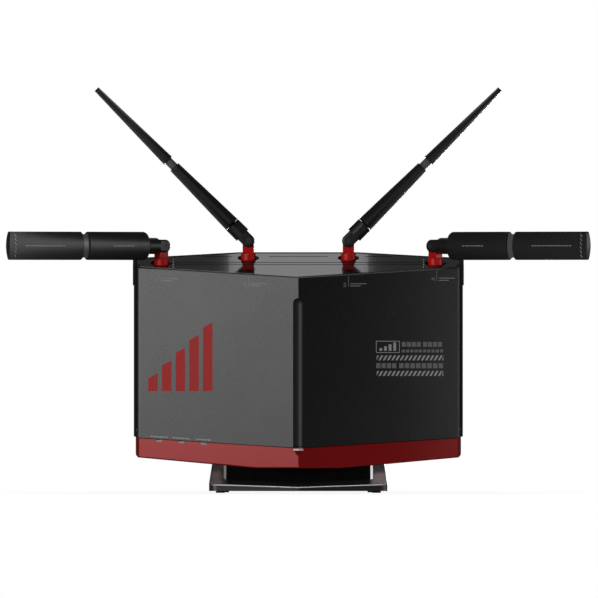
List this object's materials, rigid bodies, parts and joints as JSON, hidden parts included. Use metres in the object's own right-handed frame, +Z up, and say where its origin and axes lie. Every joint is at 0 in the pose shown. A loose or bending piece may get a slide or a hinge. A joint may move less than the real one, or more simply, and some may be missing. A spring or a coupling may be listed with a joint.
{
  "type": "wireless router",
  "caption": "Upright wireless router with a folded front, a glossy sloped top, a red foot band, a stand and folding blade antennas.",
  "frame": {"origin": "on the desk plane under the feet, below the middle of the body", "axes": "+X to the object's right as seen from the front, +Y to the back, +Z up"},
  "size_m": [0.5272, 0.1814, 0.3676],
  "materials": {
    "charcoal_plastic": "satin with a fine grain",
    "dark_plastic": "satin",
    "red_gloss": "gloss",
    "waist_satin": "satin",
    "lens": "milky gloss",
    "board": "satin resist",
    "black_gloss": "high gloss",
    "black_satin": "satin",
    "rubber": "matt",
    "shield_steel": "plated",
    "heat_sink_aluminium": "extruded",
    "port_plastic": "satin",
    "internet_plastic": "satin",
    "button_plastic": "satin",
    "screw_steel": "black zinc",
    "pin_steel": "blackened",
    "plug_brass": "gilt",
    "lead_sheath": "satin",
    "antenna_plastic": "matt"
  },
  "bodies": {
    "body": {"front_cover": "charcoal_plastic", "rear_housing": "dark_plastic", "base_band": "red_gloss", "power_light": "lens", "status_lenses": "lens", "light_board": "board", "top_panel": "black_gloss", "stand_deck": "black_satin", "rubber_feet": "rubber", "stand_riser": "black_satin", "main_board": "board", "shield_cans": "shield_steel", "heat_sink": "heat_sink_aluminium", "lan_jacks": "port_plastic", "internet_jack": "internet_plastic", "usb_port": "shield_steel", "dc_jack": "port_plastic", "button_switches": "port_plastic", "housing_screws": "screw_steel", "board_screws": "screw_steel", "stand_screws": "screw_steel", "coax_plugs": "plug_brass", "antenna_leads": "lead_sheath"},
    "power_button": {"power_button": "button_plastic"},
    "pairing_button": {"pairing_button": "button_plastic"},
    "reset_button": {"reset_button": "button_plastic"},
    "mode_switch": {"mode_switch": "button_plastic"},
    "outer_left_swivel": {"outer_left_swivel": "red_gloss"},
    "outer_left_elbow": {"outer_left_elbow": "antenna_plastic", "outer_left_hinge_pin": "pin_steel"},
    "outer_left_blade": {"outer_left_lower_blade": "antenna_plastic", "outer_left_waist_ring": "waist_satin", "outer_left_upper_blade": "antenna_plastic"},
    "inner_left_swivel": {"inner_left_swivel": "red_gloss"},
    "inner_left_elbow": {"inner_left_elbow": "antenna_plastic", "inner_left_hinge_pin": "pin_steel"},
    "inner_left_blade": {"inner_left_lower_blade": "antenna_plastic", "inner_left_waist_ring": "waist_satin", "inner_left_upper_blade": "antenna_plastic"},
    "inner_right_swivel": {"inner_right_swivel": "red_gloss"},
    "inner_right_elbow": {"inner_right_elbow": "antenna_plastic", "inner_right_hinge_pin": "pin_steel"},
    "inner_right_blade": {"inner_right_lower_blade": "antenna_plastic", "inner_right_waist_ring": "waist_satin", "inner_right_upper_blade": "antenna_plastic"},
    "outer_right_swivel": {"outer_right_swivel": "red_gloss"},
    "outer_right_elbow": {"outer_right_elbow": "antenna_plastic", "outer_right_hinge_pin": "pin_steel"},
    "outer_right_blade": {"outer_right_lower_blade": "antenna_plastic", "outer_right_waist_ring": "waist_satin", "outer_right_upper_blade": "antenna_plastic"}
  },
  "joints": [
    {"name": "outer_left_swivel_turn", "type": "hinge", "parent": "body", "child": "outer_left_swivel", "pos_m": [-0.1242, 0.006, 0.20486], "axis": [0, 0, 1], "range_deg": [-45, 90]},
    {"name": "outer_left_fold", "type": "hinge", "parent": "outer_left_swivel", "child": "outer_left_elbow", "pos_m": [-0.1242, 0.006, 0.22356], "axis": [-0.7071, 0.7071, 0], "range_deg": [0, 80]},
    {"name": "outer_left_twist", "type": "hinge", "parent": "outer_left_elbow", "child": "outer_left_blade", "pos_m": [-0.1242, 0.006, 0.22356], "axis": [-0.7071, -0.7071, 0], "range_deg": [-90, 90]},
    {"name": "inner_left_swivel_turn", "type": "hinge", "parent": "body", "child": "inner_left_swivel", "pos_m": [-0.0454, 0.0212, 0.20948], "axis": [0, 0, 1], "range_deg": [-90, 90]},
    {"name": "inner_left_fold", "type": "hinge", "parent": "inner_left_swivel", "child": "inner_left_elbow", "pos_m": [-0.0454, 0.0212, 0.22818], "axis": [0, 1, 0], "range_deg": [-35, 45]},
    {"name": "inner_left_twist", "type": "hinge", "parent": "inner_left_elbow", "child": "inner_left_blade", "pos_m": [-0.0454, 0.0212, 0.22818], "axis": [-0.7071, 0, 0.7071], "range_deg": [-90, 90]},
    {"name": "inner_right_swivel_turn", "type": "hinge", "parent": "body", "child": "inner_right_swivel", "pos_m": [0.0454, 0.0212, 0.20948], "axis": [0, 0, -1], "range_deg": [-90, 90]},
    {"name": "inner_right_fold", "type": "hinge", "parent": "inner_right_swivel", "child": "inner_right_elbow", "pos_m": [0.0454, 0.0212, 0.22818], "axis": [0, -1, 0], "range_deg": [-35, 45]},
    {"name": "inner_right_twist", "type": "hinge", "parent": "inner_right_elbow", "child": "inner_right_blade", "pos_m": [0.0454, 0.0212, 0.22818], "axis": [0.7071, 0, 0.7071], "range_deg": [-90, 90]},
    {"name": "outer_right_swivel_turn", "type": "hinge", "parent": "body", "child": "outer_right_swivel", "pos_m": [0.1242, 0.006, 0.20486], "axis": [0, 0, -1], "range_deg": [-45, 90]},
    {"name": "outer_right_fold", "type": "hinge", "parent": "outer_right_swivel", "child": "outer_right_elbow", "pos_m": [0.1242, 0.006, 0.22356], "axis": [-0.7071, -0.7071, 0], "range_deg": [0, 80]},
    {"name": "outer_right_twist", "type": "hinge", "parent": "outer_right_elbow", "child": "outer_right_blade", "pos_m": [0.1242, 0.006, 0.22356], "axis": [0.7071, -0.7071, 0], "range_deg": [-90, 90]},
    {"name": "power_button_press", "type": "slide", "parent": "body", "child": "power_button", "axis": [0, -1, 0], "range_m": [0, 0.0015], "stiffness_N_per_m": 400},
    {"name": "pairing_button_press", "type": "slide", "parent": "body", "child": "pairing_button", "axis": [0, -1, 0], "range_m": [0, 0.0015], "stiffness_N_per_m": 400},
    {"name": "reset_button_press", "type": "slide", "parent": "body", "child": "reset_button", "axis": [0, -1, 0], "range_m": [0, 0.0015], "stiffness_N_per_m": 400},
    {"name": "mode_switch_slide", "type": "slide", "parent": "body", "child": "mode_switch", "axis": [1, 0, 0], "range_m": [-0.003, 0.003]}
  ]
}
